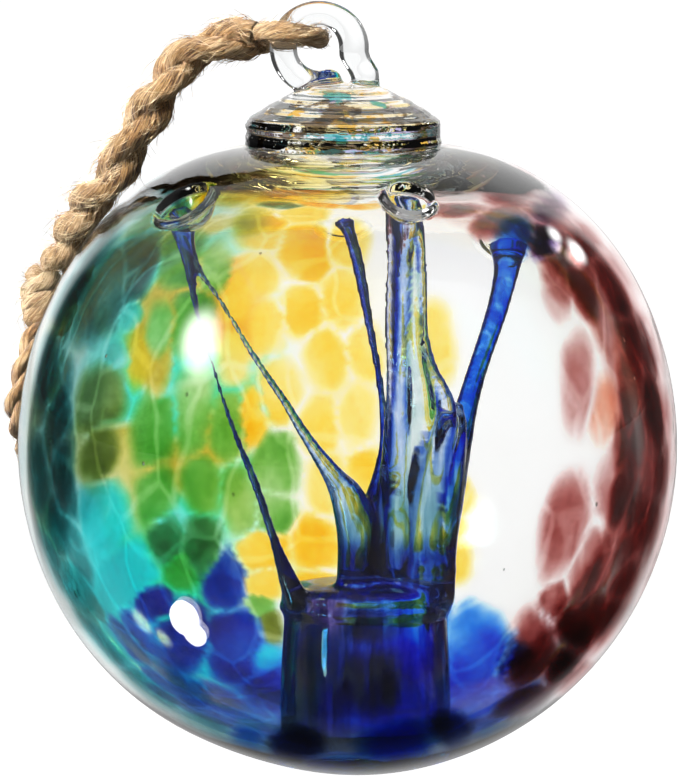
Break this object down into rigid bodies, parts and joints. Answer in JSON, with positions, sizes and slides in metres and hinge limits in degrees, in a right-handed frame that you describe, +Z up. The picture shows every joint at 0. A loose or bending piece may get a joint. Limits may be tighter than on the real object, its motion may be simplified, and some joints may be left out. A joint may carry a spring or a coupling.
{
  "type": "witch ball",
  "caption": "Hand-blown coloured glass ball with glass strands inside, a clear glass cap and loop on top, and a jute rope to hang it by.",
  "frame": {"origin": "middle of the small flat spot under the ball, on the surface it stands on", "axes": "+Z up through the cap, +X to the right of the front, +Y to the back, where the rope lies"},
  "size_m": [0.1556, 0.1594, 0.1782],
  "materials": {
    "blown_glass": "clear blown glass with patches of coloured glass",
    "jute": "coarse twisted natural fibre"
  },
  "bodies": {
    "root": {"glass_ball": "blown_glass", "jute_bight": "jute", "jute_rope": "jute", "jute_knot": "jute", "jute_hanger": "jute"}
  },
  "joints": []
}
